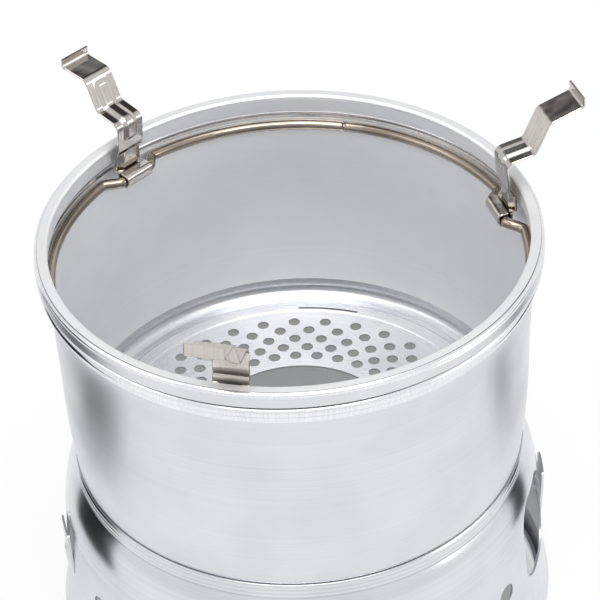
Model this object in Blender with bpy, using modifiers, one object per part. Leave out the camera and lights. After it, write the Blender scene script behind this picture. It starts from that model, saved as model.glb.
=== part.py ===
"""Storm cooker: two spun aluminium windshields, a support ring and three folding pot supports.

The lower windshield stands on its rolled base. The upper one seats in its neck, and carries a
stainless wire ring in the groove under its rim. Three stainless strips hinge on the ring.
"""

import math

import bmesh
import bpy
from mathutils import Matrix, Vector

MM = 0.001

# Fits
SEAT_GAP = 0.3
WIRE_GAP = 0.3

# Turned pieces
TURN_STEPS = 44
SHEET = 0.8

# Lower windshield
BASE_OUTER_R = 92.5
BASE_BEAD_Z = 11.7
BASE_FOOT_R = 92.0
BASE_EDGE = 0.6
BASE_HEM_WIDTH = 3.2
BASE_HEM_HEIGHT = 3.5
BASE_FLARE = 2.0
BASE_FLARE_LENGTH = 8.5
LOWER_WALL_FOOT_R = 90.5
LOWER_WALL_TAPER = 0.0588
SHOULDER_DROP = 5.14
SHOULDER_LENGTH = 7.0
LOWER_WALL_STEPS = 9
NECK_FOOT_Z = 79.3
NECK_OUTER_R = 81.5
NECK_EDGE = 0.4
SEAT_Z = 82.2
SEAT_INNER_R = 68.0
NECK_Z = 85.0

VENT_COUNT = 7
VENT_D = 8.5
VENT_Z = 46.3
VENT_PITCH_DEG = 18.28
VENT_FIRST_DEG = 228.3

HOSE_OPENING_DEG = -1.5
HOSE_OPENING_WIDTH = 30.5
HOSE_OPENING_HEIGHT = 35.5
HOSE_OPENING_Z = 53.2
HOSE_OPENING_CORNER_R = 10.0

HOOK_DEGS = (16.0, 207.0)
HOOK_FOOT_Z = 41.5
HOOK_TOP_Z = 60.0
HOOK_WIDTH = 12.0
HOOK_REACH = 2.5
HOOK_CUT = 0.6

# Upper windshield
UPPER_HEIGHT = 91.5
CORNER_CENTRE_R = 75.8
CORNER_R = 5.0
UPPER_WALL_R = 82.3
UPPER_WALL_FOOT_DROP = 84.0
UPPER_TAPER = 1.4
UPPER_TAPER_DROP = 51.0
FLARE = 3.0
FLARE_DROP = 12.0
FLARE_LENGTH = 8.5
UPPER_WALL_STEPS = 6
BEAD_TOP_DROP = 5.9
BEAD_OUTER_R = 85.8
COLLAR_INNER_R = 82.0
LIP_INNER_R = 81.4
RIM_OUTER_R = 86.3
RIM_BAND_HEIGHT = 5.3
RIM_CREASE = 1.1

BURNER_HOLE_R = 35.3
FLOOR_HOLE_D = 4.4
FLOOR_HOLE_SIDES = 6
FLOOR_HOLE_COUNT = 32
FLOOR_HOLE_FIRST_RING_R = 41.3
FLOOR_HOLE_RING_PITCH = 5.05
FLOOR_HOLE_RINGS = 5
FLOOR_HOLE_PHASE_DEG = 3.43

SLIT_COUNT = 3
SLIT_FIRST_DEG = 93.5
SLIT_R = 69.4
SLIT_LENGTH = 23.0
SLIT_WIDTH = 0.9

# Support ring
WIRE_R = 1.9
RING_DROP = 12.9
CHORD_R = 76.3
CHORD_DROP = 12.3
CHORD_HALF_LENGTH = 7.5
JOG_LENGTH = 6.0
BUTT_GAP = 0.4
BUTT_DEG = 89.2

# Pot supports
SUPPORT_DEGS = (30.0, 150.0, 270.0)
SUPPORT_NAMES = ("pot_support_right", "pot_support_left", "pot_support_front")
STRIP_WIDTH = 12.0
EAR_WIDTH = 13.6
STRIP_SHEET = 0.9
STRIP_BEND = 1.8
LIP_GAP = 1.0
STEP_HEIGHT = 11.2
STEP = 1.0
PLATE_LEAN = 2.2
PLATE_HEIGHT = 23.1
LOW_PAN_REACH = 10.2
LOW_PAN_RISE = 1.9
RISER_REACH = 5.0
RISER_HEIGHT = 11.3
TOP_PAN_REACH = 11.5
TOP_PAN_RISE = 3.0
TIP_LEAN = 0.2
TIP_HEIGHT = 3.3
RIB_WIDTH = 4.8
RIB_HEIGHT = 0.7
RIB_FOOT_HEIGHT = 15.0

# Places worked out from the sizes
HALF_SHEET = SHEET / 2
UPPER_BOTTOM_Z = SEAT_Z + SEAT_GAP
TOP_Z = UPPER_BOTTOM_Z + UPPER_HEIGHT
FLOOR_Z = UPPER_BOTTOM_Z + HALF_SHEET
CORNER_CENTRE_Z = UPPER_BOTTOM_Z + CORNER_R
FACET = math.cos(math.pi / TURN_STEPS)
CURL_R = WIRE_R + WIRE_GAP + STRIP_SHEET / 2
HINGE_Z = TOP_Z - CHORD_DROP
FOLD_X = CURL_R - PLATE_LEAN + LOW_PAN_REACH + RISER_REACH + TOP_PAN_REACH
SUPPORT_REACH = CHORD_R + FOLD_X + STRIP_SHEET / 2
# The front pot support reaches past the base, so the turning axis lies behind the middle of the box.
AXIS_Y = (SUPPORT_REACH - BASE_OUTER_R) / 2


def clear_scene():
    """Remove every object of the scene."""
    for item in list(bpy.data.objects):
        bpy.data.objects.remove(item, do_unlink=True)


def new_collection(name):
    """Return a collection of that name, linked to the scene."""
    collection = bpy.data.collections.new(name)
    bpy.context.scene.collection.children.link(collection)
    return collection


def new_material(name, color, roughness, metallic):
    """Return a Principled material."""
    material = bpy.data.materials.new(name)
    material.use_nodes = True
    shader = material.node_tree.nodes["Principled BSDF"]
    shader.inputs["Base Color"].default_value = (*color, 1.0)
    shader.inputs["Roughness"].default_value = roughness
    shader.inputs["Metallic"].default_value = metallic
    return material


def link_mesh(name, mesh, collection):
    """Return a new object that holds the mesh, in the collection."""
    item = bpy.data.objects.new(name, mesh)
    collection.objects.link(item)
    return item


def arc(centre, radius_x, radius_y, start_deg, end_deg, steps):
    """Return points on an elliptic arc about centre."""
    points = []
    for step in range(steps + 1):
        angle = math.radians(start_deg + (end_deg - start_deg) * step / steps)
        points.append((centre[0] + radius_x * math.cos(angle), centre[1] + radius_y * math.sin(angle)))
    return points


def filleted(corners, steps=3):
    """Return a polyline through corners given as (x, y, fillet radius), each rounded by its radius."""
    points = [corners[0][:2]]
    for before, corner, after in zip(corners, corners[1:], corners[2:]):
        here = Vector(corner[:2])
        back = (Vector(before[:2]) - here).normalized()
        ahead = (Vector(after[:2]) - here).normalized()
        turn = math.pi - back.angle(ahead)
        if corner[2] <= 0 or turn < 0.01:
            points.append(corner[:2])
            continue
        setback = corner[2] * math.tan(turn / 2)
        centre = here + (back + ahead).normalized() * corner[2] / math.cos(turn / 2)
        first = here + back * setback - centre
        swing = first.angle_signed(here + ahead * setback - centre)
        for step in range(steps + 1):
            angle = -swing * step / steps
            turned = Matrix.Rotation(angle, 2) @ first
            points.append(tuple(centre + turned))
    points.append(corners[-1][:2])
    return points


def sheet_outline(spine, thickness):
    """Return the closed outline of a sheet of that thickness whose middle follows the spine."""
    sides = ([], [])
    for index, point in enumerate(spine):
        here = Vector(point)
        runs = []
        if index > 0:
            runs.append((here - Vector(spine[index - 1])).normalized())
        if index < len(spine) - 1:
            runs.append((Vector(spine[index + 1]) - here).normalized())
        along = (runs[0] + runs[-1]).normalized()
        across = Vector((-along.y, along.x))
        stretch = thickness / 2 / max(along.dot(runs[0]), 0.5)
        sides[0].append(here + across * stretch)
        sides[1].append(here - across * stretch)
    return sides[0] + sides[1][::-1]


def signed_area(outline):
    """Return the area inside the outline, positive where it runs anticlockwise."""
    pairs = zip(outline, outline[1:] + outline[:1])
    return sum(a.x * b.y - b.x * a.y for a, b in pairs) / 2


def turned(name, outline, collection):
    """Return the closed ring that the outline sweeps about the turning axis."""
    # Clockwise, the outline runs down its outer side, so that the faces look outwards.
    if signed_area(outline) > 0:
        outline = outline[::-1]
    mesh = bpy.data.meshes.new(name)
    count = len(outline)
    edges = [(index, (index + 1) % count) for index in range(count)]
    mesh.from_pydata([(p.x * MM, 0.0, p.y * MM) for p in outline], edges, [])
    item = link_mesh(name, mesh, collection)
    item.location.y = AXIS_Y * MM
    screw = item.modifiers.new("turn", "SCREW")
    screw.axis = "Z"
    screw.angle = math.tau
    screw.steps = TURN_STEPS
    screw.render_steps = TURN_STEPS
    screw.use_merge_vertices = True
    screw.merge_threshold = 0.00001
    return item


def extruded(name, outline, width, place, collection):
    """Return the outline extruded by width about its own plane, set by the matrix place."""
    curve = bpy.data.curves.new(name + "_outline", "CURVE")
    curve.dimensions = "2D"
    curve.fill_mode = "BOTH"
    curve.extrude = width / 2 * MM
    spline = curve.splines.new("POLY")
    spline.points.add(len(outline) - 1)
    for target, point in zip(spline.points, outline):
        target.co = (point[0] * MM, point[1] * MM, 0.0, 1.0)
    spline.use_cyclic_u = True
    return meshed_curve(name, curve, place, collection)


def meshed_curve(name, curve, place, collection):
    """Return a closed mesh object made from the curve and placed by the matrix."""
    guide = bpy.data.objects.new(name + "_guide", curve)
    bpy.context.scene.collection.objects.link(guide)
    bpy.context.view_layer.update()
    evaluated = guide.evaluated_get(bpy.context.evaluated_depsgraph_get())
    mesh = bpy.data.meshes.new_from_object(evaluated)
    bpy.data.objects.remove(guide, do_unlink=True)
    shape = bmesh.new()
    shape.from_mesh(mesh)
    bmesh.ops.remove_doubles(shape, verts=shape.verts, dist=0.00001)
    bmesh.ops.recalc_face_normals(shape, faces=shape.faces)
    shape.to_mesh(mesh)
    shape.free()
    mesh.name = name
    item = link_mesh(name, mesh, collection)
    item.matrix_world = place
    return item


def radial_place(degrees, radius, height):
    """Return the place whose X points outwards at that bearing, Y up and Z along the tangent."""
    angle = math.radians(degrees)
    outwards = Vector((math.cos(angle), math.sin(angle), 0.0))
    up = Vector((0.0, 0.0, 1.0))
    tangent = outwards.cross(up)
    turn = Matrix((outwards, up, tangent)).transposed().to_4x4()
    spot = outwards * radius * MM + Vector((0.0, AXIS_Y * MM, height * MM))
    return Matrix.Translation(spot) @ turn


def across_place(degrees, radius, height):
    """Return the place whose X runs along the tangent at that bearing, Y up and Z outwards."""
    angle = math.radians(degrees)
    outwards = Vector((math.cos(angle), math.sin(angle), 0.0))
    up = Vector((0.0, 0.0, 1.0))
    turn = Matrix((up.cross(outwards), up, outwards)).transposed().to_4x4()
    spot = outwards * radius * MM + Vector((0.0, AXIS_Y * MM, height * MM))
    return Matrix.Translation(spot) @ turn


def level_place(height):
    """Return the place on the turning axis at that height, level."""
    return Matrix.Translation((0.0, AXIS_Y * MM, height * MM))


def as_cutter(item):
    """Mark the object as a guide that isn't part of the model."""
    item.hide_render = True
    item.display_type = "WIRE"
    return item


def combine(item, other, operation):
    """Add a Boolean modifier that joins the other object to the item, or cuts it away."""
    boolean = item.modifiers.new(operation.lower() + "_" + other.name, "BOOLEAN")
    boolean.operation = operation
    boolean.solver = "EXACT"
    boolean.object = as_cutter(other)


def joined_prisms(name, outlines, depth, place, collection):
    """Return one object that holds a prism for each outline, all of one depth about the place."""
    shape = bmesh.new()
    for outline in outlines:
        floor = [shape.verts.new((x * MM, y * MM, -depth / 2 * MM)) for x, y in outline]
        roof = [shape.verts.new((x * MM, y * MM, depth / 2 * MM)) for x, y in outline]
        shape.faces.new(floor[::-1])
        shape.faces.new(roof)
        for index in range(len(outline)):
            after = (index + 1) % len(outline)
            shape.faces.new((floor[index], floor[after], roof[after], roof[index]))
    mesh = bpy.data.meshes.new(name)
    shape.to_mesh(mesh)
    shape.free()
    item = link_mesh(name, mesh, collection)
    item.matrix_world = place
    return item


def finish(item, material, angle_deg=35.0):
    """Give the object its material and smooth shading with sharp edges past the angle."""
    item.data.materials.append(material)
    if item.modifiers:
        smooth = item.modifiers.get("turn")
        if smooth:
            smooth.use_smooth_shade = True
    if item.data.polygons:
        item.data.shade_smooth()
        item.data.set_sharp_from_angle(angle=math.radians(angle_deg))
    return item


def arc_slit(radius, width, length, bearing_deg, steps=4):
    """Return the outline of a slit that follows the circle of that radius."""
    half = math.degrees(length / 2 / radius)
    outer = arc((0, 0), radius + width / 2, radius + width / 2, bearing_deg - half,
                bearing_deg + half, steps)
    inner = arc((0, 0), radius - width / 2, radius - width / 2, bearing_deg + half,
                bearing_deg - half, steps)
    return outer + inner


def floor_cut_outlines():
    """Return the floor's round holes, every second ring half a pitch round, and its three slits."""
    outlines = []
    pitch = 360.0 / FLOOR_HOLE_COUNT
    for ring in range(FLOOR_HOLE_RINGS):
        radius = FLOOR_HOLE_FIRST_RING_R + FLOOR_HOLE_RING_PITCH * ring
        shift = FLOOR_HOLE_PHASE_DEG + pitch / 2 * (ring % 2)
        for index in range(FLOOR_HOLE_COUNT):
            angle = math.radians(shift + pitch * index)
            centre = (radius * math.cos(angle), radius * math.sin(angle))
            outlines.append(arc(centre, FLOOR_HOLE_D / 2, FLOOR_HOLE_D / 2, 0.0,
                                360.0 - 360.0 / FLOOR_HOLE_SIDES, FLOOR_HOLE_SIDES - 1))
    for index in range(SLIT_COUNT):
        bearing = SLIT_FIRST_DEG + 360.0 / SLIT_COUNT * index
        outlines.append(arc_slit(SLIT_R, SLIT_WIDTH, SLIT_LENGTH, bearing))
    return outlines


def upper_wall_r(drop):
    """Return the upper windshield's outer radius at that drop below the rim."""
    flare = FLARE * math.exp(-(drop - FLARE_DROP) / FLARE_LENGTH)
    share = max(0.0, (drop - UPPER_TAPER_DROP) / (UPPER_WALL_FOOT_DROP - UPPER_TAPER_DROP))
    return UPPER_WALL_R + flare - UPPER_TAPER * share ** 3


def lower_wall_r(height):
    """Return the lower windshield's outer radius at that height above the base."""
    line = LOWER_WALL_FOOT_R - LOWER_WALL_TAPER * (height - BASE_BEAD_Z)
    shoulder = SHOULDER_DROP * math.exp((height - NECK_FOOT_Z) / SHOULDER_LENGTH)
    flare = BASE_FLARE * math.exp((BASE_BEAD_Z - height) / BASE_FLARE_LENGTH)
    return line - shoulder + flare


def upper_spine():
    """Return the middle line of the upper windshield's sheet, from burner hole to rim band."""
    spine = [(BURNER_HOLE_R, FLOOR_Z)]
    spine += arc((CORNER_CENTRE_R, CORNER_CENTRE_Z), CORNER_R - HALF_SHEET, CORNER_R - HALF_SHEET,
                 -90.0, -8.0, 4)
    for step in range(UPPER_WALL_STEPS + 1):
        share = (1 - step / UPPER_WALL_STEPS) ** 1.5
        drop = FLARE_DROP + (UPPER_WALL_FOOT_DROP - FLARE_DROP) * share
        spine.append((upper_wall_r(drop) - HALF_SHEET, TOP_Z - drop))
    bead_r = BEAD_OUTER_R - HALF_SHEET
    bead_z = TOP_Z - BEAD_TOP_DROP - HALF_SHEET
    collar_r = COLLAR_INNER_R + HALF_SHEET
    band_r = RIM_OUTER_R - HALF_SHEET
    top_z = TOP_Z - HALF_SHEET
    spine += [(bead_r, bead_z - 2.2), (bead_r, bead_z - 0.6), (bead_r - 0.6, bead_z)]
    spine += [(collar_r + 0.5, bead_z), (collar_r, bead_z + 0.5)]
    spine += [(LIP_INNER_R + HALF_SHEET, top_z - 0.7), (LIP_INNER_R + HALF_SHEET + 0.6, top_z)]
    spine += [(band_r - RIM_CREASE, top_z), (band_r, top_z - RIM_CREASE)]
    spine.append((band_r, TOP_Z - RIM_BAND_HEIGHT))
    return spine


def lower_outline():
    """Return the section of the lower windshield, from its seat flange down to the hemmed base."""
    centre = (CORNER_CENTRE_R, CORNER_CENTRE_Z)
    seat_r = CORNER_R + SEAT_GAP
    under_r = seat_r + SHEET
    points = [(SEAT_INNER_R, SEAT_Z)]
    points += arc(centre, seat_r, seat_r, -90.0, -30.0, 4)
    points += [(NECK_OUTER_R - NECK_EDGE, NECK_Z), (NECK_OUTER_R, NECK_Z - NECK_EDGE)]
    heights = []
    for step in range(LOWER_WALL_STEPS + 1):
        share = step / LOWER_WALL_STEPS
        eased = (1 - math.cos(math.pi * share)) / 2
        heights.append(NECK_FOOT_Z + (BASE_BEAD_Z - NECK_FOOT_Z) * eased)
    points += [(lower_wall_r(height), height) for height in heights]
    hem_r = BASE_FOOT_R - BASE_HEM_WIDTH
    points += [(BASE_FOOT_R, BASE_EDGE), (BASE_FOOT_R - BASE_EDGE, 0.0)]
    points += [(hem_r + BASE_EDGE, 0.0), (hem_r, BASE_EDGE), (hem_r, BASE_HEM_HEIGHT)]
    points += [(hem_r + SHEET, BASE_HEM_HEIGHT), (hem_r + SHEET, SHEET), (BASE_FOOT_R - SHEET, SHEET)]
    points += [(lower_wall_r(height) - SHEET, height) for height in reversed(heights)]
    points += arc(centre, under_r, under_r, -50.0, -90.0, 3)
    points.append((SEAT_INNER_R, SEAT_Z - SHEET))
    return [Vector(point) for point in points]


def make_upper_windshield(parts, cutters, material):
    """Make the bowl with its rolled rim, ring groove, perforated floor and burner hole."""
    item = turned("upper_windshield", sheet_outline(upper_spine(), SHEET), parts)
    place = level_place(FLOOR_Z)
    combine(item, joined_prisms("floor_cuts", floor_cut_outlines(), SHEET * 3, place, cutters), "DIFFERENCE")
    return finish(item, material)


def hook_outline():
    """Return the section of a pressed-out hook, X outwards from the turning axis and Y up."""
    spine = filleted([
        (lower_wall_r(HOOK_FOOT_Z) * FACET - HALF_SHEET, HOOK_FOOT_Z - 1.5, 0),
        (lower_wall_r(HOOK_FOOT_Z) - HALF_SHEET + 0.1, HOOK_FOOT_Z + 4.0, 8.0),
        (lower_wall_r(HOOK_TOP_Z) - HALF_SHEET + HOOK_REACH, HOOK_TOP_Z, 0),
    ])
    return [tuple(point) for point in sheet_outline(spine, SHEET)]


def make_lower_windshield(parts, cutters, material):
    """Make the base ring with its neck, seat flange, air holes, hose opening and hooks."""
    item = turned("lower_windshield", lower_outline(), parts)
    depth = 24.0
    for index in range(VENT_COUNT):
        bearing = VENT_FIRST_DEG + VENT_PITCH_DEG * index
        ring = arc((0, 0), VENT_D / 2, VENT_D / 2, 0.0, 337.5, 15)
        place = across_place(bearing, lower_wall_r(VENT_Z), VENT_Z)
        combine(item, joined_prisms(f"vent_{index + 1}", [ring], depth, place, cutters), "DIFFERENCE")
    half_width = HOSE_OPENING_WIDTH / 2 - HOSE_OPENING_CORNER_R
    half_height = HOSE_OPENING_HEIGHT / 2 - HOSE_OPENING_CORNER_R
    outline = []
    for start, side_x, side_y in ((0, 1, 1), (90, -1, 1), (180, -1, -1), (270, 1, -1)):
        outline += arc((half_width * side_x, half_height * side_y), HOSE_OPENING_CORNER_R,
                       HOSE_OPENING_CORNER_R, start, start + 90, 5)
    place = across_place(HOSE_OPENING_DEG, lower_wall_r(HOSE_OPENING_Z), HOSE_OPENING_Z)
    combine(item, joined_prisms("hose_opening", [outline], depth, place, cutters), "DIFFERENCE")
    for number, bearing in enumerate(HOOK_DEGS, start=1):
        side = HOOK_WIDTH / 2 + HOOK_CUT
        window = [(-side, HOOK_FOOT_Z), (side, HOOK_FOOT_Z), (side, HOOK_TOP_Z + HOOK_CUT),
                  (-side, HOOK_TOP_Z + HOOK_CUT)]
        place = across_place(bearing, lower_wall_r(HOOK_FOOT_Z), 0.0)
        cut = joined_prisms(f"hook_window_{number}", [window], 12.0, place, cutters)
        combine(item, cut, "DIFFERENCE")
        hook = extruded(f"hook_{number}", hook_outline(), HOOK_WIDTH, radial_place(bearing, 0.0, 0.0), cutters)
        combine(item, hook, "UNION")
    return finish(item, material)


def ring_radius():
    """Return the ring's radius, which leaves the running gap to the flared wall round the wire."""
    inner = (upper_wall_r(RING_DROP) - SHEET) * FACET
    slope = FLARE / FLARE_LENGTH * math.exp(-(RING_DROP - FLARE_DROP) / FLARE_LENGTH)
    return inner - (WIRE_R + WIRE_GAP) * math.hypot(1.0, slope)


def ring_path():
    """Return the ring's route about the axis: a circle with a straight inward chord at each support."""
    radius = ring_radius()
    rise = RING_DROP - CHORD_DROP
    jog_reach = CHORD_HALF_LENGTH + JOG_LENGTH
    jog_r = math.sqrt(radius ** 2 - jog_reach ** 2)
    jog_deg = math.degrees(math.asin(jog_reach / radius))
    legs = []
    for index, bearing in enumerate(SUPPORT_DEGS):
        angle = math.radians(bearing)
        outwards = Vector((math.cos(angle), math.sin(angle), 0.0))
        tangent = Vector((-outwards.y, outwards.x, 0.0))
        for side in (-1, 1):
            leg = []
            for share in (0.0, 0.12, 0.35, 0.65, 0.88):
                eased = 3 * share ** 2 - 2 * share ** 3
                out = CHORD_R + (jog_r - CHORD_R) * eased
                along = (CHORD_HALF_LENGTH + JOG_LENGTH * share) * side
                leg.append(outwards * out + tangent * along + Vector((0.0, 0.0, rise * (1 - eased))))
            legs.append(leg[::-1] if side < 0 else leg)
        start = bearing + jog_deg
        end = bearing + 360.0 / len(SUPPORT_DEGS) - jog_deg
        if index == 0:
            half_gap = math.degrees(BUTT_GAP / 2 / radius)
            before = arc((0, 0), radius, radius, start, BUTT_DEG - half_gap, 6)
            after = arc((0, 0), radius, radius, BUTT_DEG + half_gap, end, 6)
            legs.append([Vector((*point, 0.0)) for point in before])
            split = len(legs)
            legs.append([Vector((*point, 0.0)) for point in after])
        else:
            legs.append([Vector((*point, 0.0)) for point in arc((0, 0), radius, radius, start, end, 12)])
    return [point for leg in legs[split:] + legs[:split] for point in leg]


def make_support_ring(parts, material):
    """Make the stainless wire ring, whose ends meet at a small butt gap."""
    curve = bpy.data.curves.new("support_ring_path", "CURVE")
    curve.dimensions = "3D"
    curve.bevel_depth = WIRE_R * MM
    curve.bevel_resolution = 2
    curve.use_fill_caps = True
    path = ring_path()
    spline = curve.splines.new("POLY")
    spline.points.add(len(path) - 1)
    for target, point in zip(spline.points, path):
        target.co = (point.x * MM, point.y * MM, point.z * MM, 1.0)
    item = meshed_curve("support_ring", curve, level_place(TOP_Z - RING_DROP), parts)
    return finish(item, material)


def support_bends():
    """Return the bends of a pot support about its hinge, X outwards and Y up, from step to tip."""
    top_x = CURL_R - PLATE_LEAN
    low_pan = (top_x + LOW_PAN_REACH, PLATE_HEIGHT + LOW_PAN_RISE)
    riser = (low_pan[0] + RISER_REACH, low_pan[1] + RISER_HEIGHT)
    fold = (riser[0] + TOP_PAN_REACH, riser[1] + TOP_PAN_RISE)
    return [
        (top_x + STEP, STEP_HEIGHT + STEP, 0.8),
        (top_x, PLATE_HEIGHT, STRIP_BEND),
        (*low_pan, STRIP_BEND),
        (*riser, STRIP_BEND),
        (*fold, STRIP_BEND / 2),
        (fold[0] - TIP_LEAN, fold[1] + TIP_HEIGHT, 0),
    ]


def support_spine():
    """Return the middle line of a pot support's strip about its hinge, from the hook lip to the tip."""
    lip_end = CURL_R - STRIP_SHEET / 2 - LIP_GAP
    hook = [(lip_end, CURL_R), (-CURL_R + 0.4, CURL_R), (-CURL_R, CURL_R - 0.4)]
    curl = arc((0, 0), CURL_R, CURL_R, 180.0, 360.0, 8)
    strip = filleted([(CURL_R, 0.0, 0), (CURL_R - 0.2, STEP_HEIGHT - STEP, 0.8), *support_bends()])
    return hook + curl + strip[1:]


def rib_line(offset):
    """Return the middle line of the stamped rib, moved by offset to the upper side of the strip."""
    bends = support_bends()
    foot_share = (RIB_FOOT_HEIGHT - bends[0][1]) / (bends[1][1] - bends[0][1])
    foot_x = bends[0][0] + (bends[1][0] - bends[0][0]) * foot_share
    head_share = 0.86
    head = tuple(bends[2][axis] + (bends[3][axis] - bends[2][axis]) * head_share for axis in (0, 1))
    line = filleted([(foot_x, RIB_FOOT_HEIGHT, 0), bends[1], bends[2], (*head, 0)])
    moved = sheet_outline(line, abs(offset) * 2)
    half = len(line)
    return moved[:half] if offset > 0 else moved[half:][::-1]


def make_pot_support(name, bearing, parts, cutters, material):
    """Make one folding support, its origin on the chord that it hinges on."""
    place = radial_place(bearing, CHORD_R, HINGE_Z)
    outline = [tuple(point) for point in sheet_outline(support_spine(), STRIP_SHEET)]
    item = extruded(name, outline, STRIP_WIDTH, place, parts)
    ear_line = [(CURL_R - 0.05, WIRE_R), (CURL_R - 0.18, STEP_HEIGHT - STEP * 1.6)]
    ears = [tuple(point) for point in sheet_outline(ear_line, STRIP_SHEET)]
    combine(item, extruded(name + "_ears", ears, EAR_WIDTH, place, cutters), "UNION")
    rib = [tuple(point) for point in sheet_outline(rib_line(RIB_HEIGHT), STRIP_SHEET)]
    combine(item, extruded(name + "_rib", rib, RIB_WIDTH, place, cutters), "UNION")
    under = [tuple(point) for point in sheet_outline(rib_line(RIB_HEIGHT - STRIP_SHEET), STRIP_SHEET)]
    trough = extruded(name + "_trough", under, RIB_WIDTH - 2 * STRIP_SHEET, place, cutters)
    combine(item, trough, "DIFFERENCE")
    return finish(item, material)


def main():
    """Build the storm cooker."""
    clear_scene()
    parts = new_collection("storm_cooker")
    cutters = new_collection("cutters")
    base_aluminium = new_material("base_aluminium", (0.76, 0.76, 0.77), 0.34, 1.0)
    bowl_aluminium = new_material("bowl_aluminium", (0.78, 0.78, 0.79), 0.34, 1.0)
    wire_steel = new_material("wire_steel", (0.62, 0.59, 0.54), 0.24, 1.0)
    make_lower_windshield(parts, cutters, base_aluminium)
    make_upper_windshield(parts, cutters, bowl_aluminium)
    make_support_ring(parts, wire_steel)
    for name, bearing in zip(SUPPORT_NAMES, SUPPORT_DEGS):
        strip_steel = new_material(name + "_steel", (0.60, 0.58, 0.55), 0.18, 1.0)
        make_pot_support(name, bearing, parts, cutters, strip_steel)


main()
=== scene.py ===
"""Storm cooker: the visible surfaces, finishes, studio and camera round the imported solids.

Lengths are in millimetres about the turning axis, with z = 0 on the ground, until new_object()
moves them into the row frame in metres. The studio's own lengths are in metres.
"""

import logging
import math
from dataclasses import dataclass, field
from enum import Enum, IntEnum

import bpy
import numpy as np
from mathutils import Matrix, Vector

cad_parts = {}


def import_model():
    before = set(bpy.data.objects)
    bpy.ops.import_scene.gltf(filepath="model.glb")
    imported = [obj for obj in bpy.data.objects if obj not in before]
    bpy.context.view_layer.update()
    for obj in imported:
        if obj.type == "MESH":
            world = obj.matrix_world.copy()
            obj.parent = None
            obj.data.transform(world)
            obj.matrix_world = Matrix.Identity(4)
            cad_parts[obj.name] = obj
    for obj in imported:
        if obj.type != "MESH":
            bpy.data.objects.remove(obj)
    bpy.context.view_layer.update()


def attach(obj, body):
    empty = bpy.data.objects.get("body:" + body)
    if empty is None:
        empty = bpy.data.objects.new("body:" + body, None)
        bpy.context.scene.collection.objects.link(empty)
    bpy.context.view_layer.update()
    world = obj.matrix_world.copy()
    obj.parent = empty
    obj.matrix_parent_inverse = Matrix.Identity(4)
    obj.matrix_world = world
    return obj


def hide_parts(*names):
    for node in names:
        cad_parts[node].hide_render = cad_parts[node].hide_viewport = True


LOG = logging.getLogger("storm_cooker")
MM = 0.001
# The turning axis lies this far towards +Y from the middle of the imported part.
AXIS_Y = 5.7
# The height of the lip's top.
RIM_Z = 174.0
# Both windshields are spun from aluminium of this thickness.
SHEET = 0.8
# Where the pot supports stand round the axis, in degrees from +X.
SUPPORT_BEARINGS = {"right": 30.0, "left": 150.0, "front": 270.0}
# Points nearer than the first are one, and no length is divided by less than the second.
SAME_POINT = 1e-3
TINY = 1e-9
# A corner that turns by less than twice this, in radians, isn't rounded.
STRAIGHT = 0.005


class Body(Enum):
    """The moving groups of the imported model."""

    LOWER = "lower"
    UPPER = "upper"
    RIGHT = "support_right"
    LEFT = "support_left"
    FRONT = "support_front"


class Grain(Enum):
    """The direction in which a finish's fine lines run."""

    RINGS = "rings"
    SPOKES = "spokes"
    LENGTH = "length"


class BowlZone(IntEnum):
    """The upper windshield's finishes, in the order of its materials."""

    WALL = 0
    RIM = 1
    FLOOR = 2
    INSIDE = 3


class BaseZone(IntEnum):
    """The lower windshield's finishes, in the order of its materials."""

    WALL = 0
    NECK = 1
    INSIDE = 2


def linear_rgba(hex_colour: str) -> tuple[float, float, float, float]:
    """Convert an sRGB colour to the linear one that shaders take, by the standard's own curve.

    Args:
        hex_colour: six hex digits.

    Returns:
        Linear red, green, blue, and an alpha of 1.
    """
    parts = [int(hex_colour[i:i + 2], 16) / 255 for i in (0, 2, 4)]
    red, green, blue = [p / 12.92 if p <= 0.04045 else ((p + 0.055) / 1.055) ** 2.4 for p in parts]
    return red, green, blue, 1.0


# Geometry helpers


def smoothstep(low: float, high: float, values: np.ndarray) -> np.ndarray:
    """Return 3t^2 - 2t^3 of the values' share t of the way from low to high."""
    share = np.clip((values - low) / (high - low), 0.0, 1.0)
    return share * share * (3 - 2 * share)


def plateau(rise: tuple, fall: tuple, values: np.ndarray) -> np.ndarray:
    """Return 0 outside the rise and the fall and 1 between them, with a smoothstep over each."""
    return smoothstep(*rise, values) * (1 - smoothstep(*fall, values))


def about(middle: float, reach: tuple) -> tuple[float, float]:
    """Return the two ends of a stretch that is given from its middle."""
    return middle + reach[0], middle + reach[1]


def arc_points(centre: tuple, radius: float, start_deg: float, end_deg: float, steps: int) -> np.ndarray:
    """Return points c + R (cos a, sin a), a from start to end.

    Args:
        centre: the arc's centre.
        radius: its radius R.
        start_deg: the first angle.
        end_deg: the last angle.
        steps: how many steps lie between them.

    Returns:
        An array of steps + 1 points.
    """
    angle = np.radians(np.linspace(start_deg, end_deg, steps + 1))
    return np.column_stack([centre[0] + radius * np.cos(angle), centre[1] + radius * np.sin(angle)])


def circle_points(centre: tuple, radius: float, count: int) -> np.ndarray:
    """Return count points spaced evenly round a circle, anticlockwise from its rightmost one."""
    return arc_points(centre, radius, 0.0, 360.0 - 360.0 / count, count - 1)


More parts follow.
